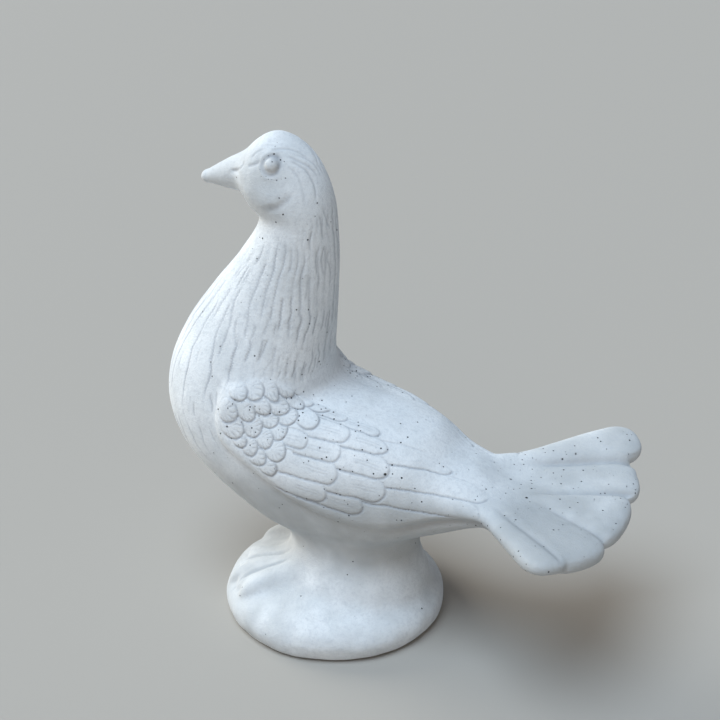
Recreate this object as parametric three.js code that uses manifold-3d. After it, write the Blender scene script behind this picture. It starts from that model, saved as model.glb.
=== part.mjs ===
// A garden statue of a pigeon, cast in white cement on a low round mound.
// Units are millimetres. Z is up, the bill points to -X and the tail to +X, and the bird is the
// same on both sides of the plane Y = 0. The origin is on the mound's flat underside, below the
// bird, and the mound's own middle is a little to one side of it.
// The real statue is one casting. Here it is modelled whole and then parted by thin cuts.

import * as THREE from 'three';
import { mergeVertices } from 'three/addons/utils/BufferGeometryUtils.js';
import Module from 'manifold-3d';

const wasm = await Module();
wasm.setup();

// ---------------------------------------------------------------- driving dimensions

const GAP = 0.3; // between neighbouring pieces
const RINGS_PER_STATION = 2; // rings lofted between two stations of the body
const BODY_SIDES = 24;

// The body from the crown to the root of the tail. Each station is a slice square to the body's
// line: its point on the back and on the front (x, z), its half width, where it is widest as a
// share of the way from back to front, and how square its sides are (2 is an ellipse).
const BODY_STATIONS = [
  { name: 'crown', back: [-34, 300.3], front: [-34, 300.3], half: 0, widest: 0.5, square: 2 },
  { name: 'dome', back: [-22, 297], front: [-46, 294], half: 12.5, widest: 0.5, square: 2 },
  { name: 'brow', back: [-10.2, 288], front: [-53.5, 284], half: 19.5, widest: 0.5, square: 2 },
  { name: 'face', back: [-2.7, 275], front: [-58, 271.5], half: 23, widest: 0.47, square: 2 },
  { name: 'cheek', back: [1.2, 262], front: [-50.5, 260], half: 23.5, widest: 0.45, square: 2 },
  { name: 'throat', back: [2.8, 249], front: [-42.5, 250], half: 22.5, widest: 0.46, square: 2 },
  { name: 'upper neck', back: [3.8, 228], front: [-55.5, 228.5], half: 25.5, widest: 0.46, square: 2 },
  { name: 'neck', back: [2.3, 204], front: [-75.2, 204], half: 31, widest: 0.46, square: 2 },
  { name: 'lower neck', back: [0.6, 185], front: [-92.2, 180], half: 38, widest: 0.46, square: 2 },
  { name: 'crop', back: [-1, 171.5], front: [-103.5, 154.5], half: 45, widest: 0.48, square: 2 },
  { name: 'breast', back: [-2, 160.5], front: [-103.5, 127], half: 50, widest: 0.48, square: 2.1 },
  { name: 'shoulder', back: [1.5, 149.6], front: [-87.5, 99.5], half: 52.5, widest: 0.48, square: 2.2 },
  { name: 'saddle', back: [21.3, 144.4], front: [-58, 75.5], half: 53, widest: 0.5, square: 2.2 },
  { name: 'back', back: [45, 140.5], front: [-22, 55], half: 51, widest: 0.5, square: 2.2 },
  { name: 'loin', back: [66.2, 134.5], front: [24, 50.5], half: 46, widest: 0.5, square: 2.1 },
  { name: 'vent', back: [81.3, 123], front: [64, 66.5], half: 38.5, widest: 0.5, square: 2 },
  { name: 'rump', back: [96, 117], front: [94, 80], half: 33, widest: 0.5, square: 2 },
  { name: 'tail root', back: [112, 109], front: [111, 90], half: 36, widest: 0.5, square: 2 },
  { name: 'root end', back: [128, 103], front: [128, 96], half: 26, widest: 0.5, square: 2 },
];

// The bill is a thick blunt cone, dipping a little.
const BILL = {
  root: [-44, 276],
  tip: [-82.5, 267],
  halfWidth: [14.5, 10.8, 7.8, 4.4],
  halfHeight: [15.5, 11.7, 8.2, 4.2],
  sides: 16,
};

const EYE = { at: [-26.4, 17, 286.3], radius: 4.6 };

// The tail is a dished fan of five thick feathers. Each runs straight from its root to its tip
// (x, y, z) and widens on the way, and the outer ones roll so that their outer edge is higher.
const OUTER = {
  root: [101, 20, 105.5], tip: [169, 79, 110], halfRoot: 4.5, halfTip: 13.5, thickness: [8.5, 7], roll: 18,
};
const SECOND = {
  root: [104, 11.5, 100], tip: [177.5, 49.5, 100], halfRoot: 11, halfTip: 21.5, thickness: [10, 7], roll: 5,
};
const MIDDLE = {
  root: [106, 0, 99], tip: [184.5, 0, 97.5], halfRoot: 2, halfTip: 30, thickness: [12, 7], roll: 0,
};
const FEATHERS = [
  { name: 'tail_feather_1', side: 1, ...OUTER },
  { name: 'tail_feather_2', side: 1, ...SECOND },
  { name: 'tail_feather_3', side: 1, ...MIDDLE },
  { name: 'tail_feather_4', side: -1, ...SECOND },
  { name: 'tail_feather_5', side: -1, ...OUTER },
];
// The grooves between the feathers on the right, each from one point (x, y) to another.
const GROOVES = [
  { from: [125, 36], to: [170, 67] },
  { from: [121, 0], to: [178, 27.5] },
];

// The mound, as a profile of radius and height round its own middle (x, y), and the rounded rest on
// top that carries the belly. It was shaped by hand, so it sits a little to the left.
const MOUND_AT = [4, -4];
const MOUND_PROFILE = [
  [0, 0], [66, 0], [69.5, 8], [68.5, 14], [64, 19.5], [57, 23.5], [48, 27], [38, 30], [26, 33], [0, 35],
];
const MOUND_SIDES = 26;
const REST = { at: [17, -2, 28.5], radii: [48, 42, 26.5] };

// The toes of each foot spread forward over the mound's shoulder. A heading of 0 is straight ahead,
// and a positive one turns outward.
const FOOT = { x: 0, y: 26, halfWidth: 9.5, height: 11 };
const TOES = [
  { heading: -14, length: 58 },
  { heading: 10, length: 56 },
  { heading: 33, length: 47 },
];

// The folded wing stands proud of the flank. Its outline is marked out on the body by the distance
// x and the angle above level, seen from a line that runs along the trunk. Its three terraces are
// the small coverts at the shoulder, the long coverts and the flight feathers.
const WING = { from: -50.5, to: 97, centre: [31, 20], swing: 39, fullest: 1.45, depth: 3 };
const WING_LINE = { from: [-60, 110], to: [110, 98], inner: 22, outer: 75 };
const WING_ROWS = [
  { proud: 2.2, inset: 0, to: 97 },
  { proud: 3.4, inset: 1.5, to: 50 },
  { proud: 4.6, inset: 3, to: 6 },
];

// Where the cuts between the named parts run, as a point (x, z) and the cut's slope in degrees.
const BILL_CUT_X = -57.5;
const NECK_CUT = { at: [-20, 247], slope: 0 };
const TRUNK_CUT = { at: [-45, 172], slope: 9 };
const TAIL_CUT_X = 99;
const FEATHER_CUT_X = 126;

// ---------------------------------------------------------------- solids and cuts

function toSolid(geometry) {
  const bare = geometry.clone();
  bare.deleteAttribute('normal');
  bare.deleteAttribute('uv');
  const merged = mergeVertices(bare, 1e-4);
  const vertProperties = new Float32Array(merged.attributes.position.array);
  const triVerts = new Uint32Array(merged.index.array);
  return new wasm.Manifold(new wasm.Mesh({ numProp: 3, vertProperties, triVerts }));
}

function toGeometry(solid) {
  const mesh = solid.getMesh();
  const geometry = new THREE.BufferGeometry();
  geometry.setAttribute('position', new THREE.BufferAttribute(new Float32Array(mesh.vertProperties), 3));
  geometry.setIndex(new THREE.BufferAttribute(new Uint32Array(mesh.triVerts), 1));
  geometry.computeVertexNormals();
  return geometry;
}

function joined(solids) {
  return solids.reduce((sum, solid) => sum.add(solid));
}

// A closed skin through rings of points that all have the same count, with a flat cap on each end.
// A ring whose points fall together makes a pole.
function skin(rings) {
  const sides = rings[0].length;
  const positions = rings.flat().flatMap((point) => [point.x, point.y, point.z]);
  const index = [];
  for (let i = 0; i + 1 < rings.length; i += 1) {
    for (let j = 0; j < sides; j += 1) {
      const k = (j + 1) % sides;
      const [a, b] = [i * sides + j, i * sides + k];
      index.push(a, b, b + sides, a, b + sides, a + sides);
    }
  }
  for (const [ring, flip] of [[0, true], [rings.length - 1, false]]) {
    const centre = positions.length / 3;
    const middle = rings[ring].reduce((sum, p) => sum.clone().add(p)).divideScalar(sides);
    positions.push(middle.x, middle.y, middle.z);
    for (let j = 0; j < sides; j += 1) {
      const [a, b] = [ring * sides + j, ring * sides + ((j + 1) % sides)];
      index.push(...(flip ? [centre, b, a] : [centre, a, b]));
    }
  }
  const geometry = new THREE.BufferGeometry();
  geometry.setAttribute('position', new THREE.Float32BufferAttribute(positions, 3));
  geometry.setIndex(index);
  return toSolid(geometry);
}

// A flat plate far larger than the statue that fills one side of a plane.
function halfSpace(point, normal) {
  const size = 800;
  const geometry = new THREE.BoxGeometry(size, size, size);
  const facing = normal.clone().normalize();
  const turn = new THREE.Quaternion().setFromUnitVectors(new THREE.Vector3(0, 0, 1), facing);
  geometry.applyQuaternion(turn);
  const middle = point.clone().addScaledVector(facing, size / 2);
  geometry.translate(middle.x, middle.y, middle.z);
  return toSolid(geometry);
}

// Parts a solid at a plane into the side the normal points to and the other side, a gap apart.
function parted(solid, point, normal) {
  const facing = normal.clone().normalize();
  const ahead = solid.intersect(halfSpace(point.clone().addScaledVector(facing, GAP / 2), facing));
  const back = facing.clone().negate();
  const behind = solid.intersect(halfSpace(point.clone().addScaledVector(back, GAP / 2), back));
  return [ahead, behind];
}

function power(value, exponent) {
  return Math.sign(value) * Math.abs(value) ** exponent;
}

// ---------------------------------------------------------------- body: head, neck and trunk

function catmull(a, b, c, d, t) {
  const cubic = (p, q, r, s) => 0.5 * (2 * q + (r - p) * t + (2 * p - 5 * q + 4 * r - s) * t * t
    + (3 * q - p - 3 * r + s) * t ** 3);
  return a.map((value, i) => cubic(value, b[i], c[i], d[i]));
}

// The body's loft, made fatter all round by `grow`.
function body(grow = 0) {
  const rows = BODY_STATIONS.map((s) => [...s.back, ...s.front, s.half, s.widest, s.square]);
  const [, second] = rows;
  const overCrown = [second[2], second[3], second[0], second[1], -second[4], second[5], second[6]];
  const last = rows.at(-1);
  const beyond = last.map((value, i) => 2 * value - rows.at(-2)[i]);
  const guided = [overCrown, ...rows, beyond];
  const slices = [];
  for (let i = 0; i + 1 < rows.length; i += 1) {
    for (let k = 0; k < RINGS_PER_STATION; k += 1) {
      slices.push(catmull(...guided.slice(i, i + 4), k / RINGS_PER_STATION));
    }
  }
  slices.push(last);
  return skin(slices.map((slice) => bodyRing(slice, grow)));
}

function bodyRing([backX, backZ, frontX, frontZ, half, widest, square], grow) {
  const back = new THREE.Vector2(backX, backZ);
  const front = new THREE.Vector2(frontX, frontZ);
  const along = back.clone().sub(front);
  if (along.length() < 1) {
    const pole = new THREE.Vector3(backX, 0, backZ + grow);
    return Array.from({ length: BODY_SIDES }, () => pole.clone());
  }
  const outward = along.clone().normalize().multiplyScalar(grow);
  back.add(outward);
  front.sub(outward);
  along.copy(back).sub(front);
  const middle = back.clone().addScaledVector(along, -widest);
  const ring = [];
  for (let j = 0; j < BODY_SIDES; j += 1) {
    const turn = (-2 * Math.PI * j) / BODY_SIDES;
    const toBack = power(Math.cos(turn), 2 / square);
    const reach = toBack * (toBack >= 0 ? widest : 1 - widest);
    const y = (half + grow) * power(Math.sin(turn), 2 / square);
    ring.push(new THREE.Vector3(middle.x + along.x * reach, y, middle.y + along.y * reach));
  }
  return ring;
}

// ---------------------------------------------------------------- bill and eyes

function bill() {
  const root = new THREE.Vector3(BILL.root[0], 0, BILL.root[1]);
  const tip = new THREE.Vector3(BILL.tip[0], 0, BILL.tip[1]);
  const forward = tip.clone().sub(root);
  const up = new THREE.Vector3(forward.z, 0, -forward.x).normalize();
  const conePart = 0.86; // the rest of the length is the round end
  const count = BILL.halfWidth.length;
  const rings = BILL.halfWidth.map((width, i) => {
    const share = (conePart * i) / (count - 1);
    return billRing(root, forward, up, share, width, BILL.halfHeight[i]);
  });
  for (const turn of [30, 60, 90]) {
    const angle = THREE.MathUtils.degToRad(turn);
    const share = conePart + (1 - conePart) * Math.sin(angle);
    const round = Math.cos(angle);
    const [width, height] = [BILL.halfWidth.at(-1) * round, BILL.halfHeight.at(-1) * round];
    rings.push(billRing(root, forward, up, share, width, height));
  }
  return skin(rings);
}

function billRing(root, forward, up, share, width, height) {
  const middle = root.clone().addScaledVector(forward, share);
  return Array.from({ length: BILL.sides }, (_, j) => {
    const turn = (-2 * Math.PI * j) / BILL.sides;
    const point = middle.clone().addScaledVector(up, height * Math.sin(turn));
    point.y += width * Math.cos(turn);
    return point;
  });
}

function eyeBall(side, grow = 0) {
  const geometry = new THREE.SphereGeometry(EYE.radius + grow, 8, 6);
  const [x, y, z] = EYE.at;
  geometry.translate(x, side * y, z);
  return toSolid(geometry);
}

// ---------------------------------------------------------------- tail

// A slice of a feather at `share` of its length, shrunk to `cap` of its size near the round end.
function featherRing(feather, share, cap) {
  const { root, tip, side, halfRoot, halfTip, thickness: [atRoot, atTip], roll } = feather;
  const overlap = 2;
  const width = (THREE.MathUtils.lerp(halfRoot, halfTip, share) + overlap) * cap;
  const thickness = (atTip + (atRoot - atTip) * Math.exp(-5 * share)) * cap ** 0.8;
  const middle = new THREE.Vector3().lerpVectors(new THREE.Vector3(...root), new THREE.Vector3(...tip), share);
  const along = new THREE.Vector3(tip[0] - root[0], tip[1] - root[1], 0).normalize();
  const across = new THREE.Vector3(-along.y, along.x, 0).applyAxisAngle(along, THREE.MathUtils.degToRad(roll));
  const up = new THREE.Vector3().crossVectors(along, across);
  const sides = 8;
  const ring = Array.from({ length: sides }, (_, j) => {
    const turn = (2 * Math.PI * j) / sides;
    const point = middle.clone().addScaledVector(across, width * power(Math.cos(turn), 0.87));
    point.addScaledVector(up, thickness * power(Math.sin(turn), 0.87));
    point.y *= side;
    return point;
  });
  return side > 0 ? ring : ring.reverse();
}

function feather(shape) {
  const roundShare = 0.2; // the round end's share of the length
  const straight = 4;
  const rings = [];
  for (let i = 0; i < straight; i += 1) {
    rings.push(featherRing(shape, ((1 - roundShare) * i) / (straight - 1), 1));
  }
  for (const turn of [25, 45, 62, 77, 90]) {
    const angle = THREE.MathUtils.degToRad(turn);
    const share = 1 - roundShare + roundShare * Math.sin(angle);
    rings.push(featherRing(shape, share, turn === 90 ? 0 : Math.cos(angle) ** 0.75));
  }
  return skin(rings);
}

// Cuts the joined fan along the grooves, so that each feather is a piece of its own.
function partedFan(fan) {
  const cuts = [
    ...GROOVES.map((groove) => ({ groove, side: 1 })),
    ...GROOVES.map((groove) => ({ groove, side: -1 })),
  ];
  const pieces = [];
  let rest = fan;
  for (const { groove, side } of cuts) {
    const [fromX, fromY] = groove.from;
    const [toX, toY] = groove.to;
    const point = new THREE.Vector3(fromX, side * fromY, 0);
    const outward = new THREE.Vector3(fromY - toY, side * (toX - fromX), 0);
    const [piece, others] = parted(rest, point, outward);
    pieces.push(piece);
    rest = others;
  }
  const [first, second, last, fourth] = pieces;
  return [first, second, rest, fourth, last].map((solid, i) => [FEATHERS[i].name, solid]);
}

// ---------------------------------------------------------------- wings

// The block of space round the trunk's line that holds one terrace of the wing. `inset` pulls its
// edge in by that many degrees, and `grow` pushes it out by a length.
function wingBlock(side, { inset, to }, grow = 0) {
  const first = WING.from + inset / 2;
  const last = Math.min(to, WING.to - inset / 2);
  const steps = 9;
  const spans = 3;
  const rings = [];
  for (let i = 0; i <= steps; i += 1) {
    const fromMiddle = -Math.cos((Math.PI * i) / steps);
    const x = THREE.MathUtils.lerp(first, last, 0.5 + 0.5 * fromMiddle);
    const share = THREE.MathUtils.clamp((x - WING.from) / (WING.to - WING.from), 0.004, 0.99);
    const open = Math.sqrt(1 - (2 * share ** WING.fullest - 1) ** 2);
    const swing = Math.max(2, WING.swing * open - inset) + grow * 1.2;
    const middle = THREE.MathUtils.lerp(...WING.centre, share);
    rings.push(wingSlice(side, x + grow * fromMiddle, middle - swing, middle + swing, spans));
  }
  return skin(rings);
}

function wingSlice(side, x, low, high, spans) {
  const { from, to, inner, outer } = WING_LINE;
  const z = THREE.MathUtils.mapLinear(x, from[0], to[0], from[1], to[1]);
  const arc = (radius) => Array.from({ length: spans + 1 }, (_, k) => {
    const angle = THREE.MathUtils.degToRad(THREE.MathUtils.lerp(low, high, k / spans));
    return new THREE.Vector3(x, side * radius * Math.cos(angle), z + radius * Math.sin(angle));
  });
  const ring = [...arc(inner), ...arc(outer).reverse()];
  return side > 0 ? ring.reverse() : ring;
}

function wing(side) {
  const outline = wingBlock(side, WING_ROWS[0]);
  const terraces = WING_ROWS.map((row) => body(row.proud).intersect(wingBlock(side, row)));
  return joined(terraces).intersect(outline).subtract(body(-WING.depth));
}

function wingPocket(side) {
  return wingBlock(side, WING_ROWS[0], GAP).subtract(body(-WING.depth - GAP));
}

// ---------------------------------------------------------------- mound and feet

function mound() {
  const profile = MOUND_PROFILE.map(([radius, height]) => new THREE.Vector2(radius, height));
  const geometry = new THREE.LatheGeometry(profile, MOUND_SIDES);
  geometry.rotateX(Math.PI / 2);
  geometry.translate(...MOUND_AT, 0);
  const rest = new THREE.SphereGeometry(1, 16, 8);
  rest.rotateX(Math.PI / 2);
  rest.scale(...REST.radii);
  rest.translate(...REST.at);
  return joined([toSolid(geometry), toSolid(rest)]);
}

// The height of the mound's shoulder under a point.
function shoulderHeight(x, y) {
  const rim = MOUND_PROFILE[2][0];
  const radius = Math.min(Math.hypot(x - MOUND_AT[0], y - MOUND_AT[1]), rim);
  const outer = MOUND_PROFILE.slice(2, -1);
  const within = outer.slice(1, -1).filter(([r]) => r > radius).length;
  const [[r0, z0], [r1, z1]] = [outer[within], outer[within + 1]];
  return THREE.MathUtils.mapLinear(radius, r0, r1, z0, z1);
}

// A toe is a low rounded ridge that follows the mound's surface down and thins to its claw.
function toe(side, { heading, length }, grow) {
  const angle = THREE.MathUtils.degToRad(heading);
  const ahead = new THREE.Vector3(-Math.cos(angle), side * Math.sin(angle), 0);
  const across = new THREE.Vector3(-ahead.y, ahead.x, 0);
  const start = new THREE.Vector3(FOOT.x, side * FOOT.y, 0);
  const steps = 6;
  const sides = 6;
  const rings = [];
  for (let i = 0; i <= steps; i += 1) {
    const share = i / steps;
    const middle = start.clone().addScaledVector(ahead, length * share);
    middle.z = shoulderHeight(middle.x, middle.y);
    const end = i === 0 || i === steps ? 0 : Math.sqrt(1 - (2 * share - 1) ** 6);
    const thin = 1 - 0.4 * share;
    const [width, height] = [end * (FOOT.halfWidth * thin + grow), end * (FOOT.height * thin + grow)];
    rings.push(Array.from({ length: sides }, (_, j) => {
      const turn = (2 * Math.PI * j) / sides;
      const point = middle.clone().addScaledVector(across, width * Math.cos(turn));
      point.z += height * Math.sin(turn);
      return point;
    }));
  }
  return skin(rings);
}

function foot(side, grow = 0) {
  return joined(TOES.map((shape) => toe(side, shape, grow)));
}

// ---------------------------------------------------------------- the statue

const FORWARD_CUT = new THREE.Vector3(1, 0, 0);
const slopedUp = (degrees) => {
  const angle = THREE.MathUtils.degToRad(degrees);
  return new THREE.Vector3(-Math.sin(angle), 0, Math.cos(angle));
};
const onMiddle = ([x, z]) => new THREE.Vector3(x, 0, z);

const whole = joined([body(), bill(), ...FEATHERS.map(feather)]);
const [tail, bird] = parted(whole, onMiddle([TAIL_CUT_X, 0]), FORWARD_CUT);
const [fan, tailRoot] = parted(tail, onMiddle([FEATHER_CUT_X, 0]), FORWARD_CUT);
const [headAndBill, belowHead] = parted(bird, onMiddle(NECK_CUT.at), slopedUp(NECK_CUT.slope));
const [headOnly, billOnly] = parted(headAndBill, onMiddle([BILL_CUT_X, 0]), FORWARD_CUT);
const [neck, trunkWhole] = parted(belowHead, onMiddle(TRUNK_CUT.at), slopedUp(TRUNK_CUT.slope));

const head = headOnly.subtract(eyeBall(1, GAP)).subtract(eyeBall(-1, GAP));
const trunk = trunkWhole.subtract(wingPocket(1)).subtract(wingPocket(-1));
const grownBody = body(GAP);
const base = mound().subtract(grownBody).subtract(foot(1, GAP)).subtract(foot(-1, GAP));

const solids = [
  ['head', head],
  ['bill', billOnly],
  ['eye_right', eyeBall(1)],
  ['eye_left', eyeBall(-1)],
  ['neck', neck],
  ['trunk', trunk],
  ['wing_right', wing(1)],
  ['wing_left', wing(-1)],
  ['tail_root', tailRoot],
  ...partedFan(fan),
  ['foot_right', foot(1).subtract(grownBody)],
  ['foot_left', foot(-1).subtract(grownBody)],
  ['mound', base],
];

const statue = new THREE.Group();
for (const [name, solid] of solids) {
  const material = new THREE.MeshStandardMaterial({ color: '#dfe3e8', roughness: 0.85, metalness: 0 });
  const mesh = new THREE.Mesh(toGeometry(solid), material);
  mesh.name = name;
  statue.add(mesh);
}

export default statue;
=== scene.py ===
import math

import bpy
import numpy as np
from mathutils import Matrix, Vector
from mathutils.bvhtree import BVHTree


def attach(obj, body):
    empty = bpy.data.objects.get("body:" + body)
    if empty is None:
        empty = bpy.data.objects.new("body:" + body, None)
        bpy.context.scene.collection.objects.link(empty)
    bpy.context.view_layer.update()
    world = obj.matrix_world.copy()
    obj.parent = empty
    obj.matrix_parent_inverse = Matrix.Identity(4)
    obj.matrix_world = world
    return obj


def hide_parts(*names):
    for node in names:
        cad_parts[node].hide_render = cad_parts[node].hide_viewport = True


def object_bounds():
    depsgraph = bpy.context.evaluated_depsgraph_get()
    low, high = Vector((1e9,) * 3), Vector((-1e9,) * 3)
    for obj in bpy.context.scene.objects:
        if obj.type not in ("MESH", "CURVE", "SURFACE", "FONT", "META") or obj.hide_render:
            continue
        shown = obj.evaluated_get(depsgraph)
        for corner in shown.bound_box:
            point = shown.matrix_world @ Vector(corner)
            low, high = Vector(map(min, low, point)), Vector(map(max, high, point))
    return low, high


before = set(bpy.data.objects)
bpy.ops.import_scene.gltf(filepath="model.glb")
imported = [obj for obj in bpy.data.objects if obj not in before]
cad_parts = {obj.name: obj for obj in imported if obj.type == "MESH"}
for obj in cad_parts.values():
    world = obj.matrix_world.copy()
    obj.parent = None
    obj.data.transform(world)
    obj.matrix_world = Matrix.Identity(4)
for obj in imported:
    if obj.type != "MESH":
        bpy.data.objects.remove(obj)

cad_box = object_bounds()

# ------------ the bird's body
# Head, neck and trunk of a garden pigeon, cast solid in white cement in one pour with all the rest.
# They were modelled in one sweep from the crown down over the breast to the tail.

# slices across that sweep, in mm: the back and the front point (x, z), the half width, where
# between those points it is widest, and how square it is (2 is an oval)
SLICES = [
    (-34, 300.3, -34, 300.3, 0, 0.5, 2),            # crown
    (-22, 297, -46, 294, 12.5, 0.5, 2),             # dome
    (-10.2, 288, -53.5, 284, 19.5, 0.5, 2),         # brow
    (-2.7, 275, -58, 271.5, 23, 0.47, 2),           # face
    (1.2, 262, -50.5, 260, 23.5, 0.45, 2),          # cheek
    (2.8, 249, -42.5, 250, 22.5, 0.46, 2),          # throat
    (3.8, 228, -55.5, 228.5, 25.5, 0.46, 2),        # upper neck
    (2.3, 204, -75.2, 204, 31, 0.46, 2),            # neck
    (0.6, 185, -92.2, 180, 38, 0.46, 2),            # lower neck
    (-1, 171.5, -103.5, 154.5, 45, 0.48, 2),        # crop
    (-2, 160.5, -103.5, 127, 50, 0.48, 2.1),        # breast
    (1.5, 149.6, -87.5, 99.5, 52.5, 0.48, 2.2),     # shoulder
    (21.3, 144.4, -58, 75.5, 53, 0.5, 2.2),         # saddle
    (45, 140.5, -22, 55, 51, 0.5, 2.2),             # back
    (66.2, 134.5, 24, 50.5, 46, 0.5, 2.1),          # loin
    (81.3, 123, 64, 66.5, 38.5, 0.5, 2),            # vent
    (96, 117, 94, 80, 33, 0.5, 2),                  # rump
    (112, 109, 111, 90, 36, 0.5, 2),                # tail root
    (128, 103, 128, 96, 26, 0.5, 2),                # root end
]
BODY_STEPS = 12     # rings from each slice to the next
BODY_SIDES = 120    # points in a ring


def power(value, exponent):
    """A power that keeps the value's sign."""
    return np.sign(value) * np.abs(value) ** exponent


def angles(sides):
    """Even angles once round."""
    return 2 * math.pi * np.arange(sides) / sides


def on_curve(p, q, r, s, t):
    """The point at share t from q to r on a smooth curve that comes from p and goes on to s."""
    return 0.5 * (2 * q + (r - p) * t + (2 * p - 5 * q + 4 * r - s) * t ** 2
                  + (3 * q - p - 3 * r + s) * t ** 3)


def flow(rows, steps):
    """Smooth rows in between the given ones, `steps` from each to the next."""
    rows = np.array(rows, float)
    second = rows[1]
    over_crown = np.array([*second[2:4], *second[0:2], -second[4], *second[5:7]])
    beyond = 2 * rows[-1] - rows[-2]
    guided = [over_crown, *rows, beyond]
    smooth = [on_curve(p, q, r, s, k / steps)
              for p, q, r, s in zip(guided, guided[1:], guided[2:], guided[3:])
              for k in range(steps)]
    return np.array(smooth + [rows[-1]])


def body_rings(steps, sides):
    """Rings round the body from the crown to the tail's root."""
    turn = angles(sides)
    rings = []
    for back_x, back_z, front_x, front_z, half, widest, square in flow(SLICES, steps):
        to_back = power(np.cos(turn), 2 / square)
        reach = to_back * np.where(to_back >= 0, widest, 1 - widest)
        middle_x = back_x - (back_x - front_x) * widest
        middle_z = back_z - (back_z - front_z) * widest
        rings.append(np.stack([middle_x + (back_x - front_x) * reach,
                               half * power(np.sin(turn), 2 / square),
                               middle_z + (back_z - front_z) * reach], axis=1))
    return np.array(rings)


def skin(rings):
    """A closed skin through rings that have the same count of points."""
    count, sides, _ = rings.shape
    faces = []
    for i in range(count - 1):
        for j in range(sides):
            k = (j + 1) % sides
            faces.append((i * sides + j, i * sides + k, (i + 1) * sides + k, (i + 1) * sides + j))
    faces.append(tuple(range(sides))[::-1])
    faces.append(tuple((count - 1) * sides + j for j in range(sides)))
    return rings.reshape(-1, 3), faces


body = body_rings(BODY_STEPS, BODY_SIDES)
clay = [skin(body)]     # the shapes that are joined to one skin further down

# ------------ the bill
# A thick blunt cone that runs straight out of the face and dips a little. It is part of the
# casting, with no line between its halves.
BILL_ROOT = np.array([-44, 0, 276.0])
BILL_TIP = np.array([-82.5, 0, 267.0])
BILL_HALF_WIDTH = [14.5, 10.8, 7.8, 4.4]        # at even steps from root to tip
BILL_HALF_HEIGHT = [15.5, 11.7, 8.2, 4.2]
CONE_PART = 0.86        # the share of its length before the round tip
BILL_SIDES, CONE_RINGS, TIP_RINGS = 64, 25, 12

forward = BILL_TIP - BILL_ROOT
bill_up = np.array([forward[2], 0, -forward[0]])
bill_up = bill_up / np.linalg.norm(bill_up)
turn = angles(BILL_SIDES)
measured = np.linspace(0, 1, len(BILL_HALF_WIDTH))
rings = []
for share in np.linspace(0, 1, CONE_RINGS):
    rings.append((share * CONE_PART, np.interp(share, measured, BILL_HALF_WIDTH),
                  np.interp(share, measured, BILL_HALF_HEIGHT)))
for angle in np.linspace(0, math.pi / 2, TIP_RINGS)[1:]:
    rings.append((CONE_PART + (1 - CONE_PART) * math.sin(angle),
                  BILL_HALF_WIDTH[-1] * math.cos(angle), BILL_HALF_HEIGHT[-1] * math.cos(angle)))
clay.append(skin(np.array([
    BILL_ROOT + forward * share + np.outer(np.sin(turn) * height, bill_up)
    + np.outer(np.cos(turn) * width, [0, 1, 0]) for share, width, height in rings])))

# ------------ the eyes
# Each is a round bead that stands a little out of the side of the head, cast with it. Its lids and
# the lines round it are carved further down.
EYE_AT = np.array([-26.4, 17, 286.3])
EYE_RADIUS = 4.6


def ball(middle, radii, rows=24, sides=48):
    turn = angles(sides)
    rings = []
    for tilt in np.linspace(0, math.pi, rows):
        rings.append(np.stack([np.sin(tilt) * np.cos(turn), np.sin(tilt) * np.sin(turn),
                               np.full(sides, np.cos(tilt))], axis=1))
    return skin(np.array(rings) * radii + middle)


for side in (1, -1):
    clay.append(ball(EYE_AT * (1, side, 1), EYE_RADIUS))

# ------------ the tail
# A dished fan of five thick feathers that widen to round ends. They are cast together, and only
# soft grooves part them. Each runs straight from root to tip, and the outer ones roll up at their
# edge. Half widths, and half thicknesses at root and tip, are in mm, and the roll is in degrees.
RIGHT_OUTER = dict(root=(101, 20, 105.5), tip=(169, 79, 110), half_root=4.5, half_tip=13.5,
                   thickness=(8.5, 7), roll=18)
LEFT_OUTER = dict(root=(101, 18, 102), tip=(165, 70, 104), half_root=4.5, half_tip=12.5,
                  thickness=(8, 5.5), roll=6)
SECOND = dict(root=(104, 11.5, 100), tip=(177.5, 49.5, 100), half_root=11, half_tip=21.5,
              thickness=(10, 7), roll=5)
MIDDLE = dict(root=(106, 0, 99), tip=(184.5, 0, 97.5), half_root=2, half_tip=30,
              thickness=(12, 7), roll=0)
HIDDEN_SHARE = 0.3      # of a feather's length, that starts inside the rump
ROUND_SHARE = 0.2       # of its length, for its round end
SPARE = 2               # mm more at each edge, which the smoothing takes off again
THINNING = 5            # how soon the root's thickness goes
SIDE_POWER, FACE_POWER = 0.72, 0.66     # squarer than an oval
END_POWER, END_THINNING = 0.75, 0.8     # how blunt the round end is
FEATHER_SIDES, FEATHER_RINGS, END_RINGS = 72, 40, 16
# the grooves between the feathers, (x, y) to (x, y): the right ones lie higher up the dish
RIGHT_GROOVES = [((125, 28.5), (173, 59.5)), ((121, -5), (177, 27.5))]
LEFT_GROOVES = [((120.5, 31.5), (164, 62)), ((128, 6), (178, 25))]


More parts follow.
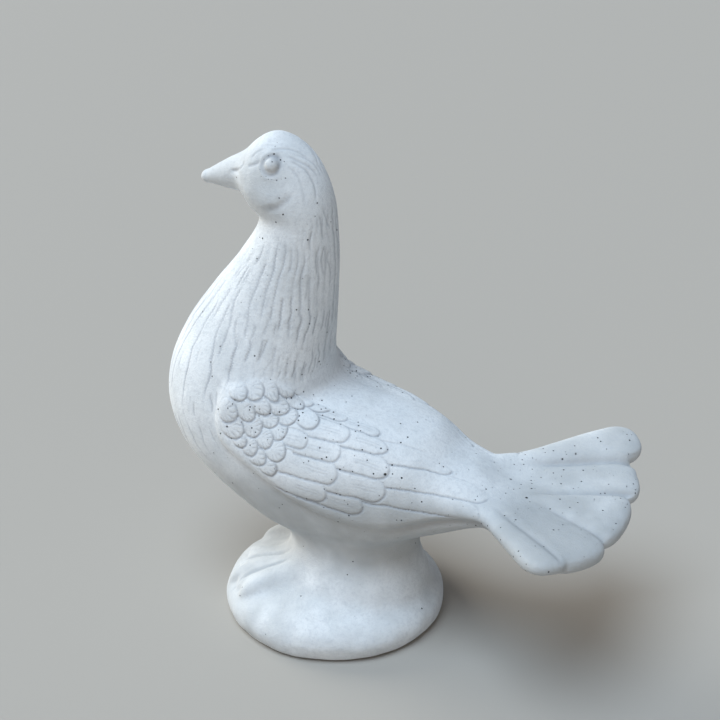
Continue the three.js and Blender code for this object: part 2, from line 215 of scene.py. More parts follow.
def tail_feather(side, root, tip, half_root, half_tip, thickness, roll):
    root, tip = np.array(root, float), np.array(tip, float)
    along = (tip - root) * (1, 1, 0)
    along /= np.linalg.norm(along)
    flat = np.array([-along[1], along[0], 0])
    tilt = math.radians(roll)
    across = flat * math.cos(tilt) + np.array([0, 0, 1]) * math.sin(tilt)
    up = np.cross(along, across)
    turn = angles(FEATHER_SIDES)
    straight = np.linspace(-HIDDEN_SHARE, 1 - ROUND_SHARE, FEATHER_RINGS)
    sections = [(share, 1.0) for share in straight]
    for angle in np.linspace(0, math.pi / 2, END_RINGS)[1:]:
        sections.append((1 - ROUND_SHARE + ROUND_SHARE * math.sin(angle),
                         max(math.cos(angle), 0) ** END_POWER))
    rings = []
    for share, cap in sections:
        width = (half_root + (half_tip - half_root) * share + SPARE) * cap
        root_share = math.exp(-THINNING * max(share, 0))
        thick = thickness[1] + (thickness[0] - thickness[1]) * root_share
        thick *= cap ** END_THINNING
        ring = root + (tip - root) * share
        ring = ring + np.outer(width * power(np.cos(turn), SIDE_POWER), across)
        ring = ring + np.outer(thick * power(np.sin(turn), FACE_POWER), up)
        rings.append(ring * (1, side, 1))
    return skin(np.array(rings))


for side, outer in ((1, RIGHT_OUTER), (-1, LEFT_OUTER)):
    clay.append(tail_feather(side, **outer))
    clay.append(tail_feather(side, **SECOND))
clay.append(tail_feather(1, **MIDDLE))

# ------------ the mound and the feet
# The bird stands on a low round mound, shaped by hand and a little off its middle, with a rounded
# rest on top that carries the belly. Three broad toes of each foot spread forward over its
# shoulder.
MOUND_AT = np.array([4, -4, 0.0])
MOUND_RADIUS = 69.5
MOUND_PROFILE = [(0, 0), (66, 0), (MOUND_RADIUS, 8), (68.5, 14), (64, 19.5), (57, 23.5), (48, 27),
                 (38, 30), (26, 33), (0, 35)]       # radius and height
MOUND_RINGS, MOUND_SIDES = 160, 180
REST_AT = np.array([17, -2, 28.5])
REST_RADII = np.array([48, 42, 26.5])
REST_ROWS, REST_SIDES = 60, 120
COLLAR_RADII = (41, 33)                 # the clay pressed in between the rest and the belly
COLLAR_HEIGHTS = (34, 44, 54, 63)
FOOT_X, FOOT_Y = 0, 26                  # where a foot's toes meet
TOE_HALF_WIDTH, TOE_HEIGHT = 9.5, 11
TOE_BLUNTNESS, TOE_TAPER = 5, 0.4
TOE_RINGS = TOE_SIDES = 40
TOES = [(-14, 58, 1), (10, 56, 1), (33, 47, 1)]     # heading in degrees outward, length, how high
WEBS = [(-2, 54, 0.8), (21.5, 49, 0.78)]            # the clay between the toes


def even_out(values, reach):
    """The mean of each value and `reach` more on either side of it."""
    count = 2 * reach + 1
    return np.convolve(np.pad(values, reach, mode="edge"), np.ones(count) / count, "valid")


radii, heights = np.array(MOUND_PROFILE, float).T
travel = np.concatenate([[0], np.cumsum(np.hypot(np.diff(radii), np.diff(heights)))])
fine = np.linspace(0, travel[-1], MOUND_RINGS)
fine_radii = even_out(np.interp(fine, travel, radii), 4)
fine_heights = even_out(np.interp(fine, travel, heights), 4)
fine_radii[[0, -1]] = 0
turn = angles(MOUND_SIDES)
clay.append(skin(np.array([
    MOUND_AT + np.stack([r * np.cos(turn), r * np.sin(turn), np.full(MOUND_SIDES, h)], axis=1)
    for r, h in zip(fine_radii, fine_heights)])))
clay.append(ball(REST_AT, REST_RADII, REST_ROWS, REST_SIDES))
collar = REST_AT * (1, 1, 0) + np.stack(
    [COLLAR_RADII[0] * np.cos(turn), COLLAR_RADII[1] * np.sin(turn), 0 * turn], axis=1)
clay.append(skin(np.array([collar + (0, 0, height) for height in COLLAR_HEIGHTS])))


def shoulder_height(x, y):
    """The height of the mound's shoulder under a point."""
    radius = min(math.hypot(x - MOUND_AT[0], y - MOUND_AT[1]), MOUND_RADIUS)
    outer = MOUND_PROFILE[2:-1]
    return np.interp(radius, [r for r, _ in outer][::-1], [h for _, h in outer][::-1])


def toe(side, heading, length, high):
    angle = math.radians(heading)
    ahead = np.array([-math.cos(angle), side * math.sin(angle), 0])
    across = np.array([-ahead[1], ahead[0], 0])
    start = np.array([FOOT_X, side * FOOT_Y, 0.0])
    turn = angles(TOE_SIDES)
    shares = 0.5 - 0.5 * np.cos(np.linspace(0, math.pi, TOE_RINGS))
    spine = np.array([start + ahead * length * share for share in shares])
    spine[:, 2] = even_out([shoulder_height(x, y) for x, y, _ in spine], 3)
    rings = []
    for share, middle in zip(shares, spine):
        end = max(1 - abs(2 * share - 1) ** TOE_BLUNTNESS, 0) ** 0.5 * (1 - TOE_TAPER * share)
        ring = middle + np.outer(TOE_HALF_WIDTH * end * np.cos(turn), across)
        ring = ring + np.outer(TOE_HEIGHT * high * end * np.sin(turn), [0, 0, 1])
        rings.append(ring)
    return skin(np.array(rings))


for side in (1, -1):
    for row in TOES + WEBS:
        clay.append(toe(side, *row))

# ------------ one skin
# The statue comes out of its mould in one piece, so all the shapes so far are joined to one closed
# skin, and where they meet the mould maker's thumb has rounded the corner.
GRAIN = 0.5      # how far apart the skin's points are, mm
UNDERSIDE = 1.2                         # points lower than this belong to the flat underside, mm
REST_SIZE = 36                          # the rest's mean radius, mm
CORNER_REACH = 11                       # how far to either side a corner is smoothed, mm
FAR = 99.0                              # a distance at which nothing happens, mm
FIRST_TIMES, UNSHRINK = 6, 0.52         # takes off the stair steps of the joined skin
CORNERS = dict(belly=7.5, toes=1.8, rest_foot=6.5, bill=5, tail_root=5.5, tail_edges=1.5,
               grooves=4.5)             # how round each corner is, mm

verts, faces, start = [], [], 0
for points, quads in clay:
    verts.append(points)
    faces.extend(tuple(i + start for i in quad) for quad in quads)
    start += len(points)
rough = bpy.data.meshes.new("rough")
rough.from_pydata((np.concatenate(verts) / 1000).tolist(), [], faces)
rough_object = bpy.data.objects.new("rough", rough)
bpy.context.scene.collection.objects.link(rough_object)
remesh = rough_object.modifiers.new("one skin", "REMESH")
remesh.mode = "VOXEL"
remesh.voxel_size = GRAIN / 1000
casting_mesh = bpy.data.meshes.new_from_object(
    rough_object.evaluated_get(bpy.context.evaluated_depsgraph_get()))
bpy.data.objects.remove(rough_object)

place = np.empty(len(casting_mesh.vertices) * 3)
casting_mesh.vertices.foreach_get("co", place)
place = place.reshape(-1, 3) * 1000
edges = np.empty(len(casting_mesh.edges) * 2, dtype=np.int32)
casting_mesh.edges.foreach_get("vertices", edges)
edges = edges.reshape(-1, 2)


def relax(place, share, times, back=0.0):
    """Smooths the skin where `share` is above 0, `times` over. `back` undoes the shrinking."""
    near = share > 0.01
    used = edges[near[edges[:, 0]] | near[edges[:, 1]]]
    ids, packed = np.unique(used, return_inverse=True)
    first, second = packed.reshape(-1, 2).T
    here, part = place[ids], share[ids, None]
    meets = np.bincount(first, minlength=len(ids)) + np.bincount(second, minlength=len(ids))
    for _ in range(times):
        for step in ((0.5, -back) if back else (0.5,)):
            total = np.stack([np.bincount(first, here[second, k], len(ids))
                              + np.bincount(second, here[first, k], len(ids))
                              for k in range(3)], axis=1)
            here = here + part * step * (total / meets[:, None] - here)
    place[ids] = here


def ramp(low, high, value):
    """0 below low, 1 above high and a smooth rise between them. With low above high it falls."""
    t = np.clip((value - low) / (high - low), 0, 1)
    return t * t * (3 - 2 * t)


def band(value, low, full_from, full_to, high):
    """1 from full_from to full_to, fading to 0 at low and at high."""
    return ramp(low, full_from, value) * ramp(high, full_to, value)


def bell(off, width):
    """1 where `off` is 0, and next to nothing beyond twice the width."""
    return np.exp(-(off / width) ** 2)


def rounds(radius):
    """How many times to smooth for a rounding of about that radius in mm."""
    return int(4 * (radius / GRAIN) ** 2) + 1


x, y, z = place.T       # these follow `place` as it is smoothed
flat_bottom = z < UNDERSIDE
above_ground = np.where(flat_bottom, 0.0, 1.0)
relax(place, above_ground, FIRST_TIMES, back=UNSHRINK)

# how far each point is from the rest's egg shape, from the body and from the collar, in mm
to_rest = np.abs(np.linalg.norm((place - REST_AT) / REST_RADII, axis=1) - 1) * REST_SIZE
body_points, body_faces = skin(body)
body_tree = BVHTree.FromPolygons(body_points.tolist(), body_faces)
to_body = np.full(len(place), FAR)
for i in np.flatnonzero((z > 34) & (z < 76) & (to_rest < 20)):
    to_body[i] = body_tree.find_nearest(place[i])[3]
to_collar = np.abs(np.linalg.norm((place - REST_AT)[:, :2] / COLLAR_RADII, axis=1) - 1) * REST_SIZE
belly = bell(np.minimum(np.maximum(to_rest, to_body), to_collar), CORNER_REACH)
relax(place, belly * band(z, 36, 42, 64, 74), rounds(CORNERS["belly"]))
relax(place, ramp(12, 2, x) * ramp(46, 40, z) * above_ground, rounds(CORNERS["toes"]))
rest_foot = bell(to_rest, CORNER_REACH) * ramp(50, 42, z) * above_ground
relax(place, rest_foot, rounds(CORNERS["rest_foot"]))
bill_root = bell(x + 50, 9) * ramp(258, 270, z)
relax(place, bill_root, rounds(CORNERS["bill"]))
tail_root = bell(x - 114, 14)
relax(place, tail_root, rounds(CORNERS["tail_root"]))
relax(place, ramp(112, 125, x), rounds(CORNERS["tail_edges"]))


def from_groove(groove, side):
    """How far each point is from a tail groove's line, outward above 0, and how far along it."""
    (ax, ay), (bx, by) = groove
    length = math.hypot(bx - ax, by - ay)
    over, wide = x - ax, side * y - ay
    out = ((bx - ax) * wide - (by - ay) * over) / length
    return out, ((bx - ax) * over + (by - ay) * wide) / length ** 2


# the mould maker filled the corners between the feathers, so that only soft grooves part them
on_top = ramp(96, 101, z - 0.1 * np.abs(y))
for side, grooves in ((1, RIGHT_GROOVES), (-1, LEFT_GROOVES)):
    for groove in grooves:
        out, along = from_groove(groove, side)
        filled = bell(out, 9) * band(along, -0.5, -0.2, 0.82, 1.0)
        relax(place, filled * on_top * ramp(-6, 0, side * y), rounds(CORNERS["grooves"]))

casting_mesh.vertices.foreach_set("co", (place / 1000).ravel())
casting_mesh.update()
facing = np.empty(len(place) * 3)
casting_mesh.vertex_normals.foreach_get("vector", facing)
facing = facing.reshape(-1, 3)

rise = np.zeros(len(place))         # how far each point is moved out of the skin, mm
painted_crease_shade = np.zeros(len(place))       # 0 to 1, how deep in a carved line or hollow it is: painted shade
pores = np.full(len(place), 0.10)   # 0 to 1, how many pinholes there are


def murmur(places, size, seed):
    """Smooth random values from -1 to 1 whose lumps are about `size` across."""
    cell = places / size
    low = np.floor(cell).astype(np.int64)
    part = cell - low
    part = part * part * (3 - 2 * part)
    total = np.zeros(len(places))
    for corner in range(8):
        step = np.array([corner & 1, corner >> 1 & 1, corner >> 2 & 1])
        i, j, k = (low + step).T
        mixed = (i * 73856093 ^ j * 19349663 ^ k * 83492791 ^ seed * 2654435761) & 0xFFFFFFFF
        mixed = (mixed ^ (mixed >> 13)) * 1274126177 & 0xFFFFFFFF
        value = (mixed >> 8 & 0xFFFF) / 32767.5 - 1
        total += np.prod(np.where(step, part, 1 - part), axis=1) * value
    return total


# ------------ the wings
# Folded wings in low relief on the trunk's sides, highest in front and running out into the tail.
# Short round feathers lie in rows over long ones, with a carved line round each.

# places on a wing are (x, angle), the angle in degrees up round a line down the trunk's middle
LINE_HEIGHT, LINE_FALL, LINE_AT = 106, 0.08, -20        # its height, and how it falls from that x
ARC = 0.907             # mm round the trunk to a degree
WING_EDGE = [
    (-50, 31), (-49.5, 40), (-46, 47), (-38, 53), (-27, 57.5), (-15, 61), (2, 64), (20, 63),
    (47, 62), (66.6, 60), (84, 55), (100, 46), (110, 36), (114, 22), (110, 10), (97, 2), (80, -5.5),
    (61, -15.5), (42, -18), (24, -15.5), (11, -11.5), (-5, -5), (-16, 1), (-26, 6.5), (-35, 11.5),
    (-43, 16), (-48, 22),
]
EDGE_STEPS = 6
PROUD_AT = [-50, -35, 0, 30, 70, 92, 108]               # along the wing
PROUD = [3.6, 4.2, 4.3, 3.4, 1.9, 0.8, 0.0]             # how far it stands out of the side, mm
EDGE_SOFT, TOP_SOFTER = 6.5, 7          # over how many mm it rises, and how many more at its top
# a feather's tip, half width in mm, how long its round end is in mm, and where its root lies
FLIGHTS = [
    ((100, -2), 11, 11, (20, -8)), ((109, 12), 8.8, 9, (30, 14)), ((110, 35), 10.5, 10, (40, 27)),
    ((85, 52.5), 8, 7, (40, 40)),
]
LONG_COVERTS = [
    ((43.5, -1), 6.4, 7, (5, 5)), ((55.3, 13.5), 7.6, 8, (5, 15)), ((54.7, 29.5), 7.2, 8, (5, 30)),
    ((50.5, 44.5), 6.2, 8, (5, 42)), ((43.6, 55.5), 4.6, 6, (5, 56)),
]
MIDDLE_COVERTS = [
    ((21.8, 3.5), 6.4, 7, (-14, 8)), ((27.4, 17.5), 6.6, 7, (-12, 19)), ((26.4, 31), 6, 6, (0, 31)),
    ((27.6, 45), 6.4, 7, (2, 43)), ((22, 58.5), 4.6, 6, (2, 58)), ((7, 32.5), 4.8, 4.5, (-12, 33)),
]
ROUND_COVERTS = [       # each one's middle, half length and half width
    (-40.6, 36.1, 5.2, 4.7), (-36.2, 46.4, 4.8, 3.6), (-28, 49.3, 4.6, 3.9),
    (-20.4, 52.2, 4.3, 3.5), (-14.2, 57.4, 4.5, 3.7), (-9.6, 61.8, 3.2, 3.7),
    (-5.4, 66.3, 2.7, 2.4), (3, 61, 6.4, 6.4), (-30.1, 38.6, 4.3, 4.1), (-22.7, 43.5, 4, 3.2),
    (-15, 47.2, 4.7, 4), (-7.6, 52.8, 3.9, 3.5), (-3.2, 58.4, 3.5, 3.5), (-9.2, 42.9, 5, 4.7),
    (2.1, 44.8, 6.2, 5.2), (-37.4, 28.6, 6, 4.9), (-25.5, 31.9, 4.8, 5), (-17.4, 38.2, 4.2, 4.2),
    (-10.9, 33.8, 4, 5.2), (-31.9, 22.4, 3.8, 3.1), (-25.3, 20.5, 4.2, 4.3),
    (-17.7, 26.8, 4.2, 4.5), (-10.2, 21.8, 5, 5), (-20.2, 16.3, 4.7, 4.4), (-13.8, 11.2, 5, 3.9),
]
FEATHER_WIDTHS = ([0, 30], [0.6, 0.74])         # how wide the carved line is along the wing
SHAFTS, SHAFT_WIDTH, SHAFT_DEPTH = (-0.8, 1.0), 0.45, 0.10
RIM_FALL = 1.5          # how far inside its edge a long feather starts to fall, mm
SCALE_SLANT, SCALE_LIFTED, SCALE_SIZE = -12, 1.4, 1.13      # degrees, degrees, times
RAY_PITCH, RAY_SWING, RAY_DEPTH = 24, 0.45, 0.24
RIGHT_WORN, LEFT_WORN, WORN_OVER = 50, 60, 13   # the angle from which a wing's top is worn smooth
HOLLOW_DEPTH, HOLLOW_DARK = 2.6, 0.26

turned = np.degrees(np.arctan2(z - (LINE_HEIGHT - LINE_FALL * (x - LINE_AT)), np.abs(y)))
wingish = np.flatnonzero((x > -58) & (x < 120) & (z > 62) & (np.abs(y) > 6) & (turned > -30))
wing_turned = turned[wingish]
along, up_round = x[wingish], wing_turned * ARC

# the wing's outline as a smooth line, and how far inside it each point is
knots = np.array(WING_EDGE, float) * (1, ARC)
edge_line = []
for p, q, r, s in zip(np.roll(knots, 1, 0), knots, np.roll(knots, -1, 0), np.roll(knots, -2, 0)):
    edge_line += [on_curve(p, q, r, s, t) for t in np.linspace(0, 1, EDGE_STEPS, endpoint=False)]
inside = np.full(len(wingish), 1e9)
crossings = np.zeros(len(wingish), dtype=np.int32)
for (ax, ay), (bx, by) in zip(edge_line, edge_line[1:] + edge_line[:1]):
    share = np.clip(((along - ax) * (bx - ax) + (up_round - ay) * (by - ay))
                    / ((bx - ax) ** 2 + (by - ay) ** 2), 0, 1)
    to_edge = np.hypot(along - ax - share * (bx - ax), up_round - ay - share * (by - ay))
    inside = np.minimum(inside, to_edge)
    crosses = (ay > up_round) != (by > up_round)
    climb = by - ay if by != ay else 1e-9
    crossings += crosses & (along < ax + (up_round - ay) * (bx - ax) / climb)
inside = np.where(crossings % 2 == 1, inside, -inside)

# the panel's edge: a firm round step below, a wide soft shoulder above, lost towards the back
upper = ramp(28, 52, wing_turned)
soft = EDGE_SOFT + TOP_SOFTER * upper * ramp(-46, -25, along)
shoulder = np.sqrt(1 - (1 - np.clip(inside / soft, 0, 1)) ** 2)
wing_rise = np.interp(along, PROUD_AT, PROUD) * (
    shoulder + (ramp(-0.6, 1, inside / soft) - shoulder) * (0.35 + 0.65 * upper))
wing_rise *= ramp(66, 44, wing_turned) * (1 - 0.8 * upper * ramp(35, 65, along)) * 0.96
# a hand doesn't cut straight lines: the feathers' places wander a little
wander = place[wingish]
along = along + 0.7 * murmur(wander, 8, seed=31) + 0.25 * murmur(wander, 2.6, seed=32)
up_round = up_round + 0.7 * murmur(wander, 8, seed=33) + 0.25 * murmur(wander, 2.6, seed=34)
ray_wander = murmur(wander, 3.5, seed=35)

feather_rise = np.zeros(len(wingish))
from_edge = np.full(len(wingish), 9.0)      # mm from the nearest feather's edge
line_depth = np.zeros(len(wingish))
shaft_line = np.zeros(len(wingish))


def cover(covered, near, height, within, depth):
    """Puts one feather's height and edge line over those laid before it."""
    feather_rise[covered] = height[covered]
    from_edge[covered] = within[covered]
    line_depth[covered] = depth[covered]
    closer = near & (-within < from_edge)
    from_edge[closer] = -within[closer]
    line_depth[closer] = depth[closer]


def lay_feather(tip, half, round_end, root, lift, depth, shaft_depth):
    """A long feather: a low pillow from root to round end, with shaft lines down its middle."""
    tip, root = np.array(tip, float) * (1, ARC), np.array(root, float) * (1, ARC)
    length = np.linalg.norm(tip - root)
    heading = (tip - root) / length
    ahead = (along - tip[0]) * heading[0] + (up_round - tip[1]) * heading[1]
    aside = (up_round - tip[1]) * heading[0] - (along - tip[0]) * heading[1]
    p = aside / half
    t = np.clip((ahead + round_end) / round_end, 0, None)
    q = np.hypot(p, t) + 1e-6       # 1 on the edge
    slope = np.hypot(p / half, t / round_end) / q + 1e-9
    within = (1 - q) / slope
    under = ramp(0.7, -0.3, p)      # its lower edge casts the deeper line
    height = lift * np.clip(1 + ahead / length, 0, 1) ** 1.3 - 0.25 * p ** 2
    height = height - (0.2 + 0.35 * under) * np.exp(-within / RIM_FALL)
    for shaft in SHAFTS:
        line = bell(aside - shaft, SHAFT_WIDTH) * band(ahead, -22, -16, -7, -3)
        height = height - shaft_depth * line
        shaft_line[q < 1] = np.maximum(shaft_line[q < 1], 3 * shaft_depth * line[q < 1])
    reach = ahead > -length
    cover((q < 1) & reach, (q >= 1) & (within > -3) & reach, height, within,
          depth * (0.35 + 0.65 * under))


def lay_scale(x, angle, half_length, half_width, lift, depth):
    """A short round feather: a small cushion with faint rays out to its rim."""
    slant = math.radians(SCALE_SLANT)
    over, rise_up = along - x, up_round - (angle + SCALE_LIFTED) * ARC
    ahead = over * math.cos(slant) + rise_up * math.sin(slant)
    aside = rise_up * math.cos(slant) - over * math.sin(slant)
    half_length, half_width = SCALE_SIZE * half_length, SCALE_SIZE * half_width
    q = np.hypot(ahead / half_length, aside / half_width)
    within = (1 - q) * half_width
    fan = np.degrees(np.arctan2(aside, ahead + 0.5 * half_length))
    ray = np.cos(2 * math.pi * (fan / RAY_PITCH + RAY_SWING * ray_wander) + x)
    line = np.clip(ray - 0.5, 0, 1) * 2
    line = line * ramp(0.4, 1.0, within) * ramp(0.9 * half_width, 0.5 * half_width, within)
    # the upper and the rear ones are worn, so their rays are gone
    line = line * (ahead > -0.3 * half_length) * float(ramp(2, -14, x) * ramp(64, 56, angle))
    under = ramp(-0.5, 0.6, 0.85 * ahead / half_length - 0.5 * aside / half_width)
    cushion = np.sqrt(np.clip(1 - (0.35 + 0.55 * under) * np.clip(q, 0, 1) ** 2.6, 0, 1))
    height = lift * cushion + 0.05 * ahead - RAY_DEPTH * line
    shaft_line[q < 1] = 2.0 * RAY_DEPTH * line[q < 1]
    cover(q < 1, (q >= 1) & (within > -3), height - 0.35, within, depth * (0.15 + 0.85 * under))


# the long ones first, then the rows over them
for rows, lift, depth, shaft_depth in ((FLIGHTS, 0.5, 0.46, 0),
                                       (LONG_COVERTS, 0.5, 0.44, SHAFT_DEPTH),
                                       (MIDDLE_COVERTS, 0.55, 0.4, SHAFT_DEPTH)):
    for row in rows:
        lay_feather(*row, lift, depth, shaft_depth)
for row in sorted(ROUND_COVERTS, key=lambda row: 0.35 * row[1] - row[0]):
    lay_scale(*row, lift=1.15, depth=0.46)

on_wing = ramp(0.6, 4, inside)
wing_line = bell(from_edge, np.interp(along, *FEATHER_WIDTHS)) * line_depth
worn_from = np.where(y[wingish] > 0, RIGHT_WORN, LEFT_WORN)
worn = 1 - 0.95 * ramp(worn_from, worn_from + WORN_OVER, wing_turned)
worn *= np.interp(along, [-50, 40, 112], [1, 0.95, 0.75])
rise[wingish] += wing_rise + on_wing * worn * (feather_rise - wing_line)
# the carved lines are painted darker: painted shade in them
carved = on_wing * worn * np.maximum(wing_line * 2.0, shaft_line)
painted_crease_shade[wingish] = np.maximum(painted_crease_shade[wingish], carved)
# under the wing's tip the side is hollowed, so that the long feathers' lower edge stands free
hollow = bell(inside + 4.6, 4.4) * band(along, 45, 72, 105, 115) * ramp(18, 4, wing_turned)
rise[wingish] -= HOLLOW_DEPTH * hollow
# the hollow is painted darker too: painted shade under the wing's tip
painted_crease_shade[wingish] = np.maximum(painted_crease_shade[wingish], HOLLOW_DARK * hollow)
wing_share = np.zeros(len(place))
wing_share[wingish] = ramp(-3, 4, inside)
# pinholes crowd over the upper front and in the feathers' edges
pores[wingish] += 0.14 * on_wing + 0.85 * bell(along - 6, 15) * bell(wing_turned - 54, 14)
pores[wingish] += 0.45 * on_wing * bell(from_edge, 1.3)

# ------------ neck and breast
# Fine feathers like combed strands run from the nape and from behind the cheeks down the neck, and
# fan out over the breast. They are scratched in: thin wavy lines, broken here and there.
STRANDS = 34            # once round
STRAND_WIDTH, STRAND_DEPTH, STRAND_DARK = 0.7, 0.34, 0.68
RIDGE = 0.06            # how far the skin stands up between strands, mm
SLICE_PITCH = 19.0      # mm from one slice of the body to the next, about
NECK_RADIUS = 34
# on the side of the neck the strands fall straighter than the body's own lines
STEER, STEER_AT, STEER_OVER, PER_RADIAN = 0.5, 80, 45, 57.3
WAVY_PITCH = 4.2        # where they lie wider apart than this they don't wave more, mm
# the slices at which they begin and end, at these degrees round from the nape
BEGINS = ([0, 30, 60, 100, 140, 180], [3.7, 4.1, 4.6, 5.0, 5.6, 6.2])
ENDS = ([0, 30, 60, 110, 180], [10.0, 10.4, 11.2, 11.6, 11.4])
MARK_APART, RUN_APART = 7.7, 400        # so that no two strands break alike

combed = np.flatnonzero((z > 88) & (x < 42))
station = np.zeros(len(combed))     # how many slices down from the crown
around = np.zeros(len(combed))      # the angle round from the nape
pitch = np.zeros(len(combed))       # how far apart the strands lie there, mm
sides_per_turn = BODY_SIDES / (2 * math.pi)
for n, i in enumerate(combed):
    spot, _, face, _ = body_tree.find_nearest(place[i])
    ring, side = divmod(face, BODY_SIDES)
    if ring >= len(body) - 1:
        continue
    # the point as steps along the two sides of the body's face that it lies on
    a, b, c = body[ring, side], body[ring, (side + 1) % BODY_SIDES], body[ring + 1, side]
    dx, dy, dz = spot.x - a[0], spot.y - a[1], spot.z - a[2]
    ex, ey, ez = b[0] - a[0], b[1] - a[1], b[2] - a[2]
    fx, fy, fz = c[0] - a[0], c[1] - a[1], c[2] - a[2]
    wide = ex * ex + ey * ey + ez * ez + 1e-9
    deep = fx * fx + fy * fy + fz * fz + 1e-9
    station[n] = (ring + (dx * fx + dy * fy + dz * fz) / deep) / BODY_STEPS
    around[n] = (side + (dx * ex + dy * ey + dz * ez) / wide) / sides_per_turn
    pitch[n] = math.sqrt(wide) * BODY_SIDES / STRANDS
from_back = np.degrees(np.minimum(around, 2 * math.pi - around))   # 0 at the nape, 180 in front
down = station * SLICE_PITCH
wrapped = np.stack([np.cos(around) * NECK_RADIUS, np.sin(around) * NECK_RADIUS, down], axis=1)
steer = STEER * ramp(5.0, 9.5, station) * bell(from_back - STEER_AT, STEER_OVER)
steered = around + steer * np.where(around < math.pi, 1, -1)
pitch /= 1 - steer * 2 * (from_back - STEER_AT) / STEER_OVER ** 2 * PER_RADIAN
calm = WAVY_PITCH / np.maximum(pitch, WAVY_PITCH)
sways = [0.5 * calm ** 0.5 * murmur(wrapped, 23, seed) + 0.42 * calm * murmur(wrapped, 10, seed + 1)
         + 0.16 * calm * murmur(wrapped, 4.8, seed + 2) for seed in (3, 13, 23)]
combing = ramp(0, 0.8, station - np.interp(from_back, *BEGINS))
combing *= ramp(0, 1.3, np.interp(from_back, *ENDS) - station)
combing *= 1 - wing_share[combed]
counted = steered * STRANDS / (2 * math.pi)
# three runs of strands, set between one another: sway, shift, how strong, how often broken
for sway, shift, share, gaps in ((sways[0], 0.0, 1.0, -0.20),
                                 (sways[1], 0.5, ramp(5.2, 6.8, pitch), -0.24),
                                 (sways[2], 0.25, 0.8, 0.1)):
    strand = counted + sway + shift
    nearest = np.round(strand)
    off = np.abs(strand - nearest) * pitch
    mark = np.mod(nearest, STRANDS) * MARK_APART + shift * RUN_APART
    mark = np.stack([mark, down, 0 * down], axis=1)
    shown = ramp(gaps, gaps + 0.5, murmur(mark, 11, seed=7) + 0.3 * murmur(mark, 5, seed=8))
    pressed = 0.85 + 0.3 * murmur(mark, 21, seed=9)
    line = bell(off, STRAND_WIDTH) * shown * share * combing * pressed
    rise[combed] -= STRAND_DEPTH * line
    # the scratched strands are painted darker: painted shade in them
    painted_crease_shade[combed] = np.maximum(painted_crease_shade[combed], STRAND_DARK * line)
rise[combed] += RIDGE * combing * np.cos(2 * math.pi * (counted + sways[0] + 0.5))

# ------------ the head's lines
# The eye sits in an almond of two lids, with curved brow lines sweeping over it and down the nape.
# The cheek stands a little proud of the throat, and a soft crease parts the bill from the face.
BEAD_RING, BEAD_RING_WIDTH = 4.9, 1.0       # the groove round the eye's bead, mm from its middle
RING_DEPTH, UPPER_RING_DEPTH, RING_DARK = 0.26, 0.34, 0.8     # it is cut deeper above the bead
LID_RING, LID_WIDTH, LID_HEIGHT = 6.9, 1.2, 0.35
BEAD_CROWN_WIDTH, BEAD_CROWN_HEIGHT = 3.0, 0.3
CHEEK_AT, CHEEK_HEIGHT = (-32, 276), 0.8
BILL_CREASE_AT, BILL_CREASE_BOW = (-41.9, 20, 277), 0.07     # bowed forward from its middle
BILL_CREASE_WIDTH, BILL_CREASE_DEPTH = 2.2, 0.12
CERE_AT, CERE_WIDTH, CERE_HEIGHT = (-48.5, 279.5), 3.0, 0.45    # the swelling above a nostril
NOSTRIL_AT, NOSTRIL_SLOPE, NOSTRIL_HALF, NOSTRIL_DEPTH = (-53.5, 277), 0.25, (4.2, 1.3), 0.55
HAND_SWAY = 0.35        # how far the cut lines wander, mm
